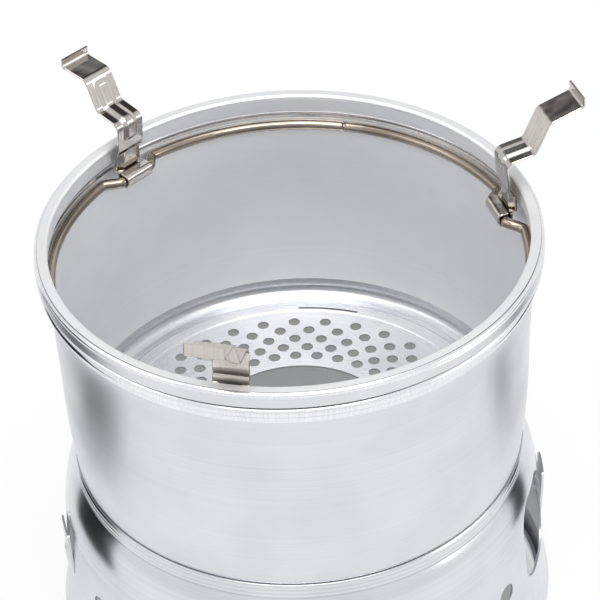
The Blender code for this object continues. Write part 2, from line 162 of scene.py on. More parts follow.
def rounded(corners: list[tuple], steps: int = 6) -> np.ndarray:
    """Round a polyline's corners.

    Each corner becomes a circular arc that is tangent to both of its runs.

    Args:
        corners: (x, y, fillet radius) for each corner; the first and last radius aren't used.
        steps: steps in each arc.

    Returns:
        The points of the rounded line.
    """
    points = [np.array(corners[0][:2], float)]
    for before, corner, after in zip(corners, corners[1:], corners[2:]):
        here = np.array(corner[:2], float)
        back = np.array(before[:2], float) - here
        ahead = np.array(after[:2], float) - here
        back /= np.linalg.norm(back)
        ahead /= np.linalg.norm(ahead)
        half = math.acos(max(-1.0, min(1.0, float(back @ ahead)))) / 2
        if corner[2] <= 0 or half > math.pi / 2 - STRAIGHT:
            points.append(here)
            continue
        bisector = (back + ahead) / np.linalg.norm(back + ahead)
        centre = here + bisector * corner[2] / math.sin(half)
        first = here + back * corner[2] / math.tan(half) - centre
        last = here + ahead * corner[2] / math.tan(half) - centre
        start = math.atan2(first[1], first[0])
        sweep = (math.atan2(last[1], last[0]) - start + math.pi) % (2 * math.pi) - math.pi
        angle = start + sweep * np.linspace(0.0, 1.0, steps + 1)
        points.extend(centre + corner[2] * np.column_stack([np.cos(angle), np.sin(angle)]))
    points.append(np.array(corners[-1][:2], float))
    return np.array(points)


def line_normals(line: np.ndarray) -> np.ndarray:
    """Return the unit normal (-ty, tx) at each point, t the mean direction of the runs that meet there.

    Args:
        line: the points of an open line, (points, 2).

    Returns:
        The normals, (points, 2).
    """
    runs = np.diff(line, axis=0)
    runs /= np.maximum(np.linalg.norm(runs, axis=1, keepdims=True), TINY)
    along = np.vstack([runs[:1], runs[:-1] + runs[1:], runs[-1:]])
    along /= np.maximum(np.linalg.norm(along, axis=1, keepdims=True), TINY)
    return np.column_stack([-along[:, 1], along[:, 0]])


def without_repeats(line: np.ndarray) -> np.ndarray:
    """Drop each point that lies within a micrometre of the one before it."""
    keep = np.concatenate([[True], np.linalg.norm(np.diff(line, axis=0), axis=1) > SAME_POINT])
    return line[keep]


def run_lengths(path: np.ndarray) -> np.ndarray:
    """Return how far along the path each of its points lies."""
    return np.concatenate([[0.0], np.cumsum(np.linalg.norm(np.diff(path, axis=0), axis=1))])


def resampled(path: np.ndarray, count: int) -> np.ndarray:
    """Space points evenly along a path.

    Args:
        path: its points, (points, axes).
        count: how many are wanted.

    Returns:
        The new points, (count, axes).
    """
    run = run_lengths(path)
    wanted = np.linspace(0.0, run[-1], count)
    return np.column_stack([np.interp(wanted, run, path[:, axis]) for axis in range(path.shape[1])])


def sheet_section(spine: np.ndarray, thickness: float) -> np.ndarray:
    """Return the outline spine + n t/2 out and spine - n t/2 back, n the line's normal."""
    offset = line_normals(spine) * thickness / 2
    return np.vstack([spine + offset, (spine - offset)[::-1]])


def grid_faces(rows: int, columns: int, closed_rows: bool, closed_columns: bool) -> np.ndarray:
    """Index the quads of a grid of vertices, row by row.

    Args:
        rows: rows of vertices.
        columns: vertices in each row.
        closed_rows: whether the last row joins the first.
        closed_columns: whether each row closes on itself.

    Returns:
        An array of quads. Each faces along the cross product of its row's way and the way to the next.
    """
    row = np.arange(rows if closed_rows else rows - 1)[:, None]
    column = np.arange(columns if closed_columns else columns - 1)[None, :]
    after_row = (row + 1) % rows
    after_column = (column + 1) % columns
    corners = [row * columns + column, row * columns + after_column,
               after_row * columns + after_column, after_row * columns + column]
    return np.stack(np.broadcast_arrays(*corners), axis=-1).reshape(-1, 4)


@dataclass
class Shape:
    """Vertices in millimetres about the turning axis, with faces, zones and texture places."""

    vertices: np.ndarray
    faces: list
    zones: list = field(default_factory=list)
    uv: np.ndarray | None = None


def turned_shape(outline: np.ndarray, zones: list[int], steps: int) -> Shape:
    """Turn a closed outline about the axis.

    The vertex is (r cos a, r sin a, z) for each (r, z) of the outline and each of the angles a.

    Args:
        outline: the closed section, (r, z).
        zones: the finish index of each of its segments.
        steps: how many angles there are.

    Returns:
        The ring, with its faces outwards.
    """
    area = np.sum(outline[:, 0] * np.roll(outline[:, 1], -1) - np.roll(outline[:, 0], -1) * outline[:, 1])
    if area > 0:
        outline = outline[::-1]
        zones = list(np.roll(zones[::-1], -1))
    angle = np.linspace(0.0, 2 * math.pi, steps, endpoint=False)
    radius, height = outline[:, 0], outline[:, 1]
    x = np.cos(angle)[:, None] * radius
    y = np.sin(angle)[:, None] * radius
    z = np.broadcast_to(height, x.shape)
    vertices = np.stack([x, y, z], axis=-1).reshape(-1, 3)
    faces = grid_faces(steps, len(outline), True, True)[:, ::-1]
    return Shape(vertices, faces.tolist(), list(np.tile(zones, steps)))


def swept_shape(centres: np.ndarray, side: np.ndarray, up: np.ndarray, loops: np.ndarray) -> Shape:
    """Sweep a changing closed loop along a path.

    The vertex is c + u s + v n, with (u, v) the loop's point, s the side and n the up direction.

    Args:
        centres: the path's points c, (stations, 3).
        side: unit side directions s, (stations, 3).
        up: unit up directions n, (stations, 3).
        loops: (stations, points, 2) of (u, v), anticlockwise seen along the path.

    Returns:
        The closed body, capped at both ends, with its faces outwards, and with u and the run along
        the path as texture places.
    """
    vertices = centres[:, None] + loops[..., :1] * side[:, None] + loops[..., 1:] * up[:, None]
    stations, count = loops.shape[:2]
    faces = grid_faces(stations, count, False, True)[:, ::-1].tolist()
    faces.append(list(range(count)))
    faces.append(list(range((stations - 1) * count, stations * count))[::-1])
    uv = np.stack(np.broadcast_arrays(loops[..., 0], run_lengths(centres)[:, None]), axis=-1) * MM
    return Shape(vertices.reshape(-1, 3), faces, uv=uv.reshape(-1, 2))


def prism_shape(outlines: list[np.ndarray], origin: np.ndarray, x_axis: np.ndarray,
                y_axis: np.ndarray, depth: float) -> Shape:
    """Make a prism for each outline, as one shape.

    Args:
        outlines: anticlockwise outlines in the plane of the two axes.
        origin: the plane's origin.
        x_axis: its first unit axis.
        y_axis: its second unit axis.
        depth: the prisms' length, half of it to each side of the plane.

    Returns:
        The closed prisms.
    """
    reach = np.cross(x_axis, y_axis) * depth / 2
    vertices, faces = [], []
    base = 0
    for outline in outlines:
        flat = origin + outline[:, :1] * x_axis + outline[:, 1:] * y_axis
        vertices += [flat - reach, flat + reach]
        count = len(outline)
        faces.append(list(range(base, base + count))[::-1])
        faces.append(list(range(base + count, base + 2 * count)))
        faces += (grid_faces(2, count, False, True) + base).tolist()
        base += 2 * count
    return Shape(np.vstack(vertices), faces)


def new_object(name: str, shape: Shape) -> bpy.types.Object:
    """Make a mesh object of the shape in the row frame.

    Args:
        name: the object's name.
        shape: the shape, in millimetres about the turning axis.

    Returns:
        The object, linked to the scene.
    """
    mesh = bpy.data.meshes.new(name)
    points = (shape.vertices + np.array([0.0, AXIS_Y, 0.0])) * MM
    mesh.from_pydata(points.tolist(), [], shape.faces)
    if shape.zones:
        mesh.polygons.foreach_set("material_index", np.array(shape.zones, np.int32))
    if shape.uv is not None:
        layer = mesh.uv_layers.new(name="UVMap")
        corners = np.zeros(len(mesh.loops), np.int32)
        mesh.loops.foreach_get("vertex_index", corners)
        layer.data.foreach_set("uv", shape.uv[corners].astype(np.float32).ravel())
    mesh.validate()
    item = bpy.data.objects.new(name, mesh)
    bpy.context.scene.collection.objects.link(item)
    return item


def cut_away(item: bpy.types.Object, shapes: list[Shape]) -> None:
    """Cut the shapes out of the object's mesh, one after another.

    Args:
        item: the object, which gets a new mesh.
        shapes: the closed shapes that are taken away.
    """
    for number, shape in enumerate(shapes):
        cutter = new_object(f"{item.name}_cut_{number}", shape)
        boolean = item.modifiers.new("cut", "BOOLEAN")
        boolean.operation = "DIFFERENCE"
        boolean.solver = "EXACT"
        boolean.object = cutter
        bpy.context.view_layer.update()
        made = bpy.data.meshes.new_from_object(item.evaluated_get(bpy.context.evaluated_depsgraph_get()))
        item.modifiers.clear()
        item.data = made
        bpy.data.objects.remove(cutter, do_unlink=True)


def dress(item: bpy.types.Object, materials: list[bpy.types.Material], body: Body,
          angle_deg: float = 30.0) -> bpy.types.Object:
    """Give a piece its finishes, smooth shading, body and material slot.

    Args:
        item: the piece.
        materials: its materials, by zone.
        body: the body it rides on.
        angle_deg: edges that turn more than this stay sharp.

    Returns:
        The piece.
    """
    while len(item.data.materials) < len(materials):
        item.data.materials.append(None)
    for index, material in enumerate(materials):
        item.data.materials[index] = material
    item.data.shade_smooth()
    item.data.set_sharp_from_angle(angle=math.radians(angle_deg))
    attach(item, body.value)
    return item


def outwards_axes(bearing_deg: float) -> tuple[np.ndarray, np.ndarray, np.ndarray]:
    """Work out the directions at a bearing round the axis.

    Args:
        bearing_deg: the bearing, from +X towards +Y.

    Returns:
        The outward, tangent and up directions.
    """
    angle = math.radians(bearing_deg)
    outwards = np.array([math.cos(angle), math.sin(angle), 0.0])
    tangent = np.array([-math.sin(angle), math.cos(angle), 0.0])
    return outwards, tangent, np.array([0.0, 0.0, 1.0])


# Finishes

# Lines along a piece run on for about a quarter of a metre, and spokes are spaced at the rim's radius.
STREAK_LENGTH_M = 0.25
SPOKE_RADIUS = 85.0
# The lines' and the clouds' noise, added up, lie between these.
NOISE_SUM = (0.72, 1.28)
LINE_STRENGTH = 0.35
# A Mix node's colour inputs and its colour output, by place.
MIX_A, MIX_B, MIX_RESULT = 6, 7, 2


def add_node(tree: bpy.types.NodeTree, kind: str, inputs: dict, **settings: object) -> bpy.types.Node:
    """Add a node, set it up and feed its inputs.

    Args:
        tree: the material's node tree.
        kind: the node's type name.
        inputs: input name or index to a constant or to an output socket.
        settings: the node's own properties.

    Returns:
        The node.
    """
    node = tree.nodes.new(kind)
    for name, value in settings.items():
        setattr(node, name, value)
    for key, value in inputs.items():
        if isinstance(value, bpy.types.NodeSocket):
            tree.links.new(value, node.inputs[key])
        else:
            node.inputs[key].default_value = value
    return node


@dataclass(frozen=True)
class MetalFinish:
    """A metal surface with fine tool lines.

    Attributes:
        name: the material's name.
        light_hex: its colour where the lines are lightest.
        dark_hex: its colour where they are darkest.
        roughness: its middle roughness.
        spread: how far the lines take the roughness up and down.
        grain: which way the lines run.
        line_mm: the lines' width.
        bump_mm: the lines' depth.
        cloud_mm: the size of the soft clouds over them.
        wave_mm: the length of the surface's own waves.
        wave_depth_mm: the waves' depth; 0 leaves them out.
        anisotropic: how far highlights spread across the lines.
    """

    name: str
    light_hex: str
    dark_hex: str
    roughness: float
    spread: float
    grain: Grain
    line_mm: float
    bump_mm: float
    cloud_mm: float = 26.0
    wave_mm: float = 8.0
    wave_depth_mm: float = 0.0
    anisotropic: float = 0.0

    def _place(self, tree: bpy.types.NodeTree) -> bpy.types.NodeSocket:
        """Work out the coordinates, in line widths, in which the noise makes the lines.

        Args:
            tree: the material's node tree.

        Returns:
            The coordinates' socket.
        """
        lines_per_m = 1.0 / (self.line_mm * MM)
        if self.grain is Grain.LENGTH:
            place = add_node(tree, "ShaderNodeUVMap", {}, uv_map="UVMap")
            scale = (lines_per_m, 1.0 / STREAK_LENGTH_M, 1.0)
        else:
            where = add_node(tree, "ShaderNodeTexCoord", {})
            axis = (0.0, AXIS_Y * MM, 0.0)
            moved = add_node(tree, "ShaderNodeVectorMath", {0: where.outputs["Object"], 1: axis},
                             operation="SUBTRACT")
            flat = add_node(tree, "ShaderNodeVectorMath", {0: moved.outputs[0], 1: (1.0, 1.0, 0.0)},
                            operation="MULTIPLY")
            if self.grain is Grain.SPOKES:
                place = add_node(tree, "ShaderNodeVectorMath", {0: flat.outputs[0]}, operation="NORMALIZE")
                spokes = SPOKE_RADIUS / self.line_mm
                scale = (spokes, spokes, 0.0)
            else:
                radius = add_node(tree, "ShaderNodeVectorMath", {0: flat.outputs[0]}, operation="LENGTH")
                parts = add_node(tree, "ShaderNodeSeparateXYZ", {0: moved.outputs[0]})
                place = add_node(tree, "ShaderNodeCombineXYZ", {
                    0: radius.outputs["Value"], 2: parts.outputs[2]})
                scale = (lines_per_m, lines_per_m, lines_per_m)
        scaled = add_node(tree, "ShaderNodeVectorMath", {0: place.outputs[0], 1: scale}, operation="MULTIPLY")
        return scaled.outputs[0]

    def build(self) -> bpy.types.Material:
        """Make the material: fine lines in colour, roughness and height, over slow clouds.

        Returns:
            The material.
        """
        material = bpy.data.materials.new(self.name)
        material.use_nodes = True
        tree = material.node_tree
        shader = tree.nodes["Principled BSDF"]
        shader.inputs["Metallic"].default_value = 1.0
        shader.inputs["Anisotropic"].default_value = self.anisotropic
        lines = add_node(tree, "ShaderNodeTexNoise", {
            "Vector": self._place(tree), "Scale": 1.0, "Detail": 3.0, "Roughness": 0.6})
        where = add_node(tree, "ShaderNodeTexCoord", {})
        clouds = add_node(tree, "ShaderNodeTexNoise", {
            "Vector": where.outputs["Object"], "Scale": 1.0 / (self.cloud_mm * MM), "Detail": 2.0})
        mixed = add_node(tree, "ShaderNodeMath", {0: lines.outputs[0], 1: clouds.outputs[0]}, operation="ADD")
        low, high = NOISE_SUM
        share = add_node(tree, "ShaderNodeMapRange", {0: mixed.outputs[0], 1: low, 2: high, 3: 0.0, 4: 1.0})
        colour = add_node(tree, "ShaderNodeMix", {
            0: share.outputs[0], MIX_A: linear_rgba(self.dark_hex), MIX_B: linear_rgba(self.light_hex)},
            data_type="RGBA")
        rough = add_node(tree, "ShaderNodeMapRange", {
            0: mixed.outputs[0], 1: low, 2: high, 3: self.roughness + self.spread,
            4: self.roughness - self.spread})
        bump = add_node(tree, "ShaderNodeBump", {
            "Strength": LINE_STRENGTH, "Distance": self.bump_mm * MM, "Height": lines.outputs[0]})
        if self.wave_depth_mm:
            waves = add_node(tree, "ShaderNodeTexNoise", {
                "Vector": where.outputs["Object"], "Scale": 1.0 / (self.wave_mm * MM), "Detail": 1.0})
            bump = add_node(tree, "ShaderNodeBump", {
                "Strength": 1.0, "Distance": self.wave_depth_mm * MM, "Height": waves.outputs[0],
                "Normal": bump.outputs[0]})
        tree.links.new(colour.outputs[MIX_RESULT], shader.inputs["Base Color"])
        tree.links.new(rough.outputs[0], shader.inputs["Roughness"])
        tree.links.new(bump.outputs[0], shader.inputs["Normal"])
        if self.anisotropic:
            tangent = add_node(tree, "ShaderNodeTangent", {}, direction_type="RADIAL", axis="Z")
            tree.links.new(tangent.outputs[0], shader.inputs["Tangent"])
        return material


# Real tool lines are finer than a tenth of a millimetre, too fine to show, so each finish draws them
# several times as coarse.

# Satin spun aluminium: soft grey with hair-fine horizontal lines left by the spinning roller.
SPUN_WALL = MetalFinish("spun_aluminium_wall", "DEDFE2", "D2D3D7", 0.33, 0.04, Grain.RINGS, 0.35, 0.010)
# The inside of the bowl is duller, so its highlights are soft, and its paler colour is painted light, so it
# reads as an even light grey.
SPUN_INSIDE = MetalFinish("spun_aluminium_inside", "F8F8F9", "F1F2F3", 0.58, 0.04, Grain.RINGS, 0.45, 0.010)
# The shoulder of the base is burnished by the roller, so it mirrors the room more sharply than the walls.
BURNISHED_NECK = MetalFinish("burnished_aluminium_shoulder", "DEDFE2", "D0D1D5", 0.21, 0.04, Grain.RINGS,
                             0.4, 0.008)
# The rim was brushed last, across its width, so it shows short radial streaks; its colour is lighter than the
# wall's.
BRUSHED_RIM = MetalFinish("brushed_aluminium_rim", "F0F0F2", "DEDFE3", 0.17, 0.05, Grain.SPOKES, 0.6, 0.014)
# The punched floor: pressed flat and turned, so its highlights spread across the turning lines.
PUNCHED_FLOOR = MetalFinish("punched_aluminium_floor", "D6D7DA", "C6C7CC", 0.27, 0.05, Grain.RINGS, 0.6, 0.01,
                            anisotropic=0.6)
# Polished stainless strip: mirror-like, with faint rolling lines and the slight waves of hand bending.
POLISHED_STRIP = MetalFinish("polished_stainless_strip", "CFCAC4", "B4AEA7", 0.11, 0.04, Grain.LENGTH,
                             0.3, 0.003, wave_mm=7.0, wave_depth_mm=0.14)
# Drawn stainless wire: warmer and a little duller than the strips; its darker colour is painted shade.
DRAWN_WIRE = MetalFinish("drawn_stainless_wire", "B1A698", "7F766B", 0.14, 0.05, Grain.LENGTH, 0.5, 0.006,
                         wave_mm=4.0, wave_depth_mm=0.08)


# Sub-assemblies


@dataclass(frozen=True)
class BowlSizes:
    """The upper windshield's sizes, from the burner hole out and up to the rim."""

    height: float = 91.5
    burner_hole_r: float = 35.3
    hole_land: float = 2.0
    step_inner_r: float = 68.4
    step_outer_r: float = 73.6
    step_height: float = 0.45
    # Where the step's two slopes begin and end, from its radii.
    step_rise: tuple = (-0.3, 0.4)
    step_fall: tuple = (-0.5, 0.2)
    step_margin: float = 1.0
    hole_d: float = 4.4
    hole_count: int = 32
    first_ring_r: float = 41.3
    ring_pitch: float = 5.05
    rings: int = 5
    phase_deg: float = 3.43
    slit_count: int = 3
    slit_r: float = 69.4
    slit_length: float = 23.0
    slit_width: float = 0.9
    slit_first_deg: float = 93.5
    cut_depth: float = 4.0
    cut_middle: float = 0.5
    corner_centre_r: float = 75.8
    corner_r: float = 5.0
    corner_degs: tuple = (-88.0, -6.0)
    wall_r: float = 82.3
    foot_drop: float = 84.0
    taper: float = 1.4
    taper_drop: float = 51.0
    flare: float = 2.4
    flare_drop: float = 11.2
    flare_length: float = 8.5
    bead_r: float = 86.1
    bead_turn: float = 1.75
    bead_drop: float = 8.7
    bead_degs: tuple = (-70.0, 78.0)
    collar_inner_r: float = 82.0
    lip_inner_r: float = 81.4
    lip_width: float = 1.4
    lip_drop: float = 1.0
    lip_slope: float = 0.6
    lip_round: float = 0.8
    lip_bulge: float = 0.15
    bulge_drop: float = 0.7
    crease: float = 0.45
    crease_drop: float = 1.25
    edge_drop: float = 1.9
    rim_r: float = 86.3
    band_width: float = 1.2
    band_height: float = 5.3
    band_margin: float = 0.1
    floor_steps: int = 45
    wall_steps: int = 39
    steps: int = 240


class UpperWindshield:
    """The bowl with its rolled rim, ring groove and punched floor."""

    def __init__(self, sizes: BowlSizes) -> None:
        """Keep the sizes."""
        self.sizes = sizes

    def _wall_radius(self, drop: np.ndarray) -> np.ndarray:
        """Return R + f exp(-(d - d0) / l) - t ((d - d1) / (d2 - d1))^3 at the drop d below the rim.

        Args:
            drop: the drops d.

        Returns:
            The wall's outer radii.
        """
        s = self.sizes
        share = np.clip((drop - s.taper_drop) / (s.foot_drop - s.taper_drop), 0.0, None)
        return s.wall_r + s.flare * np.exp(-(drop - s.flare_drop) / s.flare_length) - s.taper * share ** 3

    def _spine(self) -> tuple[np.ndarray, list[int]]:
        """Draw the sheet's middle line from burner hole to rim band.

        Returns:
            Its points (r, z), and the zone of each.
        """
        s = self.sizes
        half = SHEET / 2
        bottom = RIM_Z - s.height
        stepped = np.linspace(s.step_inner_r - s.step_margin, s.corner_centre_r, s.floor_steps + 1)
        radius = np.concatenate([[s.burner_hole_r, s.burner_hole_r + s.hole_land], stepped])
        lift = plateau(about(s.step_inner_r, s.step_rise), about(s.step_outer_r, s.step_fall), radius)
        floor = np.column_stack([radius, bottom + half + s.step_height * lift])
        corner = arc_points((s.corner_centre_r, bottom + s.corner_r), s.corner_r - half, *s.corner_degs, 12)
        drop = np.linspace(s.foot_drop, s.flare_drop, s.wall_steps + 1)
        wall = np.column_stack([self._wall_radius(drop) - half, RIM_Z - drop])
        bead_centre = (s.bead_r - half - s.bead_turn, RIM_Z - s.bead_drop)
        bead = arc_points(bead_centre, s.bead_turn, *s.bead_degs, 14)
        collar_r, lip_r, band_r = s.collar_inner_r + half, s.lip_inner_r + half, s.rim_r - half
        top = RIM_Z - half
        collar = rounded([
            (*bead[-1], 0), (collar_r, RIM_Z - s.bead_drop + s.bead_turn, 0.6),
            (collar_r, RIM_Z - s.edge_drop, 0.8), (lip_r, RIM_Z - s.lip_drop, 0.5),
            (lip_r + s.lip_slope, top, 0.5), (band_r - s.lip_round, top, 0.5),
            (band_r + s.lip_bulge, top - s.bulge_drop, 0.5), (band_r - s.crease, top - s.crease_drop, 0.25),
            (band_r, top - s.edge_drop, 0.4), (band_r, RIM_Z - s.band_height, 0)])[1:]
        spine = np.vstack([floor, corner, wall, bead, collar])
        zones = [BowlZone.FLOOR] * (len(floor) + len(corner)) + [BowlZone.WALL] * (len(wall) - 1)
        return spine, zones + [BowlZone.RIM] * (len(spine) - len(zones))

    def _cuts(self) -> Shape:
        """Draw the floor's openings: rings of round holes, each turned half a pitch, and the slits.

        Returns:
            A prism through the floor for each opening.
        """
        s = self.sizes
        pitch = 360.0 / s.hole_count
        outlines = []
        for ring in range(s.rings):
            radius = s.first_ring_r + s.ring_pitch * ring
            for index in range(s.hole_count):
                angle = math.radians(s.phase_deg + pitch / 2 * (ring % 2) + pitch * index)
                centre = (radius * math.cos(angle), radius * math.sin(angle))
                outlines.append(circle_points(centre, s.hole_d / 2, 24))
        half = math.degrees(s.slit_length / 2 / s.slit_r)
        for index in range(s.slit_count):
            bearing = s.slit_first_deg + 360.0 / s.slit_count * index
            outer = arc_points((0, 0), s.slit_r + s.slit_width / 2, bearing - half, bearing + half, 12)
            inner = arc_points((0, 0), s.slit_r - s.slit_width / 2, bearing + half, bearing - half, 12)
            outlines.append(np.vstack([outer, inner]))
        origin = np.array([0.0, 0.0, RIM_Z - s.height + s.cut_middle])
        return prism_shape(outlines, origin, np.array([1.0, 0, 0]), np.array([0, 1.0, 0]), s.cut_depth)

    def build(self, finishes: dict[str, bpy.types.Material]) -> list[bpy.types.Object]:
        """Make the piece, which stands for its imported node.

        Args:
            finishes: the materials by name.

        Returns:
            The piece, in a list.
        """
        s = self.sizes
        spine, zones = self._spine()
        radius, height = spine[:, 0], spine[:, 1]
        # The spine's normal side is the bowl's inside, the lip's top and the outer band. On that side the
        # wall and the collar have the inside's finish, and the band has the outer wall's.
        collar = radius < s.lip_inner_r + s.lip_width
        band = (radius > s.rim_r - s.band_width) & (height < RIM_Z - s.edge_drop)
        band &= height > RIM_Z - s.band_height - s.band_margin
        inside = np.array(zones)
        inside[(inside == BowlZone.WALL) | ((inside == BowlZone.RIM) & collar)] = BowlZone.INSIDE
        inside[(inside == BowlZone.RIM) & band] = BowlZone.WALL
        shape = turned_shape(sheet_section(spine, SHEET), inside.tolist() + zones[::-1], s.steps)
        item = new_object("upper_windshield_skin", shape)
        cut_away(item, [self._cuts()])
        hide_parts("upper_windshield")
        materials = [finishes[zone.name.lower()] for zone in BowlZone]
        return [dress(item, materials, Body.UPPER)]


@dataclass(frozen=True)
class BaseSizes:
    """The lower windshield's sizes, from the ground up, and those of its openings and hooks."""

    base_r: float = 92.5
    foot_r: float = 92.0
    edge: float = 0.6
    hem_width: float = 3.2
    hem_height: float = 3.5
    bead_out: float = 0.2
    bead_low_z: float = 7.5
    bead_z: float = 11.7
    flare: float = 2.0
    flare_length: float = 8.5
    wall_foot_r: float = 90.5
    wall_taper: float = 0.0588
    line_z: float = 60.5
    line_depth: float = 0.12
    line_width: float = 0.45
    burnish_z: float = 62.0
    shoulder_drop: float = 5.14
    shoulder_length: float = 7.0
    neck_foot_z: float = 79.3
    neck_r: float = 81.5
    neck_z: float = 85.0
    neck_edge: float = 0.5
    neck_rise: float = 0.4
    neck_fall: float = 0.3
    ridge: float = 0.1
    ridge_z: float = 80.3
    groove_half: float = 0.4
    groove_foot: float = 0.15
    # Each groove's height, and how far its upper edge and its bottom stand out from the neck.
    grooves: tuple = ((83.5, 0.1, -0.15), (81.7, 0.2, -0.1))
    seat_z: float = 82.2
    seat_inner_r: float = 68.0
    seat_gap: float = 0.12
    vent_d: float = 8.5
    vent_z: float = 46.3
    vent_count: int = 7
    vent_pitch_deg: float = 18.28
    vent_first_deg: float = 228.3
    hose_deg: float = -1.5
    hose_width: float = 30.5
    hose_height: float = 35.5
    hose_z: float = 53.2
    hose_corner_r: float = 10.0
    hook_degs: tuple = (15.0, 208.0)
    hook_foot_z: float = 41.5
    hook_top_z: float = 60.0
    hook_overlap: float = 0.8
    hook_width: float = 13.0
    hook_reach: float = 2.1
    hook_bend_r: float = 89.0
    hook_corner_r: float = 1.2
    lean_power: float = 0.8
    corner_start: float = 0.8
    hook_rows: int = 36
    hook_columns: int = 33
    hook_cut: float = 0.6
    rib: float = 0.9
    # The rib's slopes: its sides from the hook's middle, and its ends as shares of the height.
    rib_half: tuple = (0.8, 2.4)
    rib_rise: tuple = (0.04, 0.16)
    rib_fall: tuple = (0.42, 0.6)
    dimple_z: float = 65.2
    dimple_r: float = 1.1
    dimple_depth: float = 1.0
    cut_depth: float = 24.0
    wall_steps: int = 71
    steps: int = 240


class LowerWindshield:
    """The base ring with its seat, air holes, side opening and pressed hooks."""

    def __init__(self, bowl: BowlSizes, sizes: BaseSizes) -> None:
        """Keep the sizes, and the bowl's, whose corner the seat follows."""
        self.bowl = bowl
        self.sizes = sizes

    def _wall_radius(self, height: np.ndarray) -> np.ndarray:
        """Return R - k (z - z0) - s exp((z - z1) / l) + f exp((z0 - z) / m) at the height z.

        Args:
            height: the heights z.

        Returns:
            The wall's outer radii.
        """
        s = self.sizes
        line = s.wall_foot_r - s.wall_taper * (height - s.bead_z)
        shoulder = s.shoulder_drop * np.exp((height - s.neck_foot_z) / s.shoulder_length)
        return line - shoulder + s.flare * np.exp((s.bead_z - height) / s.flare_length)

    def _neck(self, seat_end: np.ndarray) -> np.ndarray:
        """Draw the neck's outline, with its fine grooves, from the seat's end down to the wall.

        Args:
            seat_end: the seat's last point (r, z).

        Returns:
            The points between the seat and the wall.
        """
        s = self.sizes
        corners = [(*seat_end, 0), (s.neck_r - s.neck_edge, s.neck_z + s.neck_rise, 0.25),
                   (s.neck_r, s.neck_z - s.neck_fall, 0.35)]
        for middle, shoulder, bottom in s.grooves:
            corners += [(s.neck_r + shoulder, middle + s.groove_half, 0.2), (s.neck_r + bottom, middle, 0.15),
                        (s.neck_r + s.groove_foot, middle - s.groove_half, 0.2)]
        wall_r = float(self._wall_radius(np.array(s.neck_foot_z)))
        corners += [(s.neck_r + s.ridge, s.ridge_z, 0.3), (wall_r, s.neck_foot_z, 0)]
        return rounded(corners, 4)[1:-1]

    def _outline(self) -> tuple[np.ndarray, list[int]]:
        """Draw the closed section: seat, neck, wall, hemmed foot and inside.

        The wall has a turned line of depth g exp(-((z - z2) / w)^2) at the height z2.

        Returns:
            Its points (r, z), and the zone of each segment.
        """
        s = self.sizes
        centre = (self.bowl.corner_centre_r, RIM_Z - self.bowl.height + self.bowl.corner_r)
        seat_r = self.bowl.corner_r + s.seat_gap
        seat = np.vstack([[(s.seat_inner_r, s.seat_z)], arc_points(centre, seat_r, -90.0, -25.0, 12)])
        neck = self._neck(seat[-1])
        height = np.linspace(s.neck_foot_z, s.bead_z, s.wall_steps + 1)
        turned_line = s.line_depth * np.exp(-((height - s.line_z) / s.line_width) ** 2)
        wall = np.column_stack([self._wall_radius(height) - turned_line, height])
        foot_in = s.foot_r - s.hem_width
        foot = rounded([
            (*wall[-1], 0), (s.foot_r + s.bead_out, s.bead_low_z, 4.0), (s.foot_r, s.edge, 0.3),
            (s.foot_r - s.edge, 0.0, 0.3), (foot_in + s.edge, 0.0, 0.3), (foot_in, s.edge, 0.3),
            (foot_in, s.hem_height, 0.2), (foot_in + SHEET, s.hem_height, 0.2), (foot_in + SHEET, SHEET, 0.2),
            (s.foot_r - SHEET, SHEET, 0.3), (wall[-1][0] - SHEET, s.bead_z, 0)], 4)[1:-1]
        inner = wall[::-1] - np.array([SHEET, 0.0])
        under = arc_points(centre, seat_r + SHEET, -50.0, -90.0, 8)
        outline = np.vstack([seat, neck, wall, foot, inner, under, [(s.seat_inner_r, s.seat_z - SHEET)]])
        burnished = int(np.count_nonzero(wall[:, 1] > s.burnish_z))
        zones = [BaseZone.NECK] * (len(seat) + len(neck) + burnished)
        zones += [BaseZone.WALL] * (len(wall) - burnished + len(foot))
        return outline, zones + [BaseZone.INSIDE] * (len(outline) - len(zones))

    def _cuts(self) -> list[Shape]:
        """Draw the air holes, the side opening, the windows behind the hooks and the punched marks.

        Returns:
            A prism through the wall for each of them.
        """
        s = self.sizes
        vent = circle_points((0, 0), s.vent_d / 2, 48)
        holes = [(s.vent_first_deg + s.vent_pitch_deg * index, s.vent_z, vent)
                 for index in range(s.vent_count)]
        half_w = s.hose_width / 2 - s.hose_corner_r
        half_h = s.hose_height / 2 - s.hose_corner_r
        corners = [(half_w, half_h), (-half_w, half_h), (-half_w, -half_h), (half_w, -half_h)]
        oblong = np.vstack([arc_points(corner, s.hose_corner_r, 90.0 * turn, 90.0 * (turn + 1), 14)
                            for turn, corner in enumerate(corners)])
        holes.append((s.hose_deg, s.hose_z, oblong))
        side = s.hook_width / 2 + s.hook_cut
        low, high = s.hook_foot_z, s.hook_top_z + s.hook_cut
        window = rounded([(-side, low, 0), (side, low, s.hook_cut), (side, high, s.hook_cut),
                          (-side, high, s.hook_cut), (-side, low, 0)], 3)
        holes += [(bearing, 0.0, window[:-1]) for bearing in s.hook_degs]
        shapes = []
        for bearing, height, outline in holes:
            outwards, tangent, up = outwards_axes(bearing)
            origin = outwards * s.base_r + up * height
            shapes.append(prism_shape([outline], origin, tangent, up, s.cut_depth))
        mark = circle_points((0, 0), s.dimple_r, 16)
        for bearing in s.hook_degs:
            outwards, tangent, up = outwards_axes(bearing)
            origin = outwards * float(self._wall_radius(np.array(s.dimple_z))) + up * s.dimple_z
            shapes.append(prism_shape([mark], origin, tangent, up, s.dimple_depth))
        return shapes

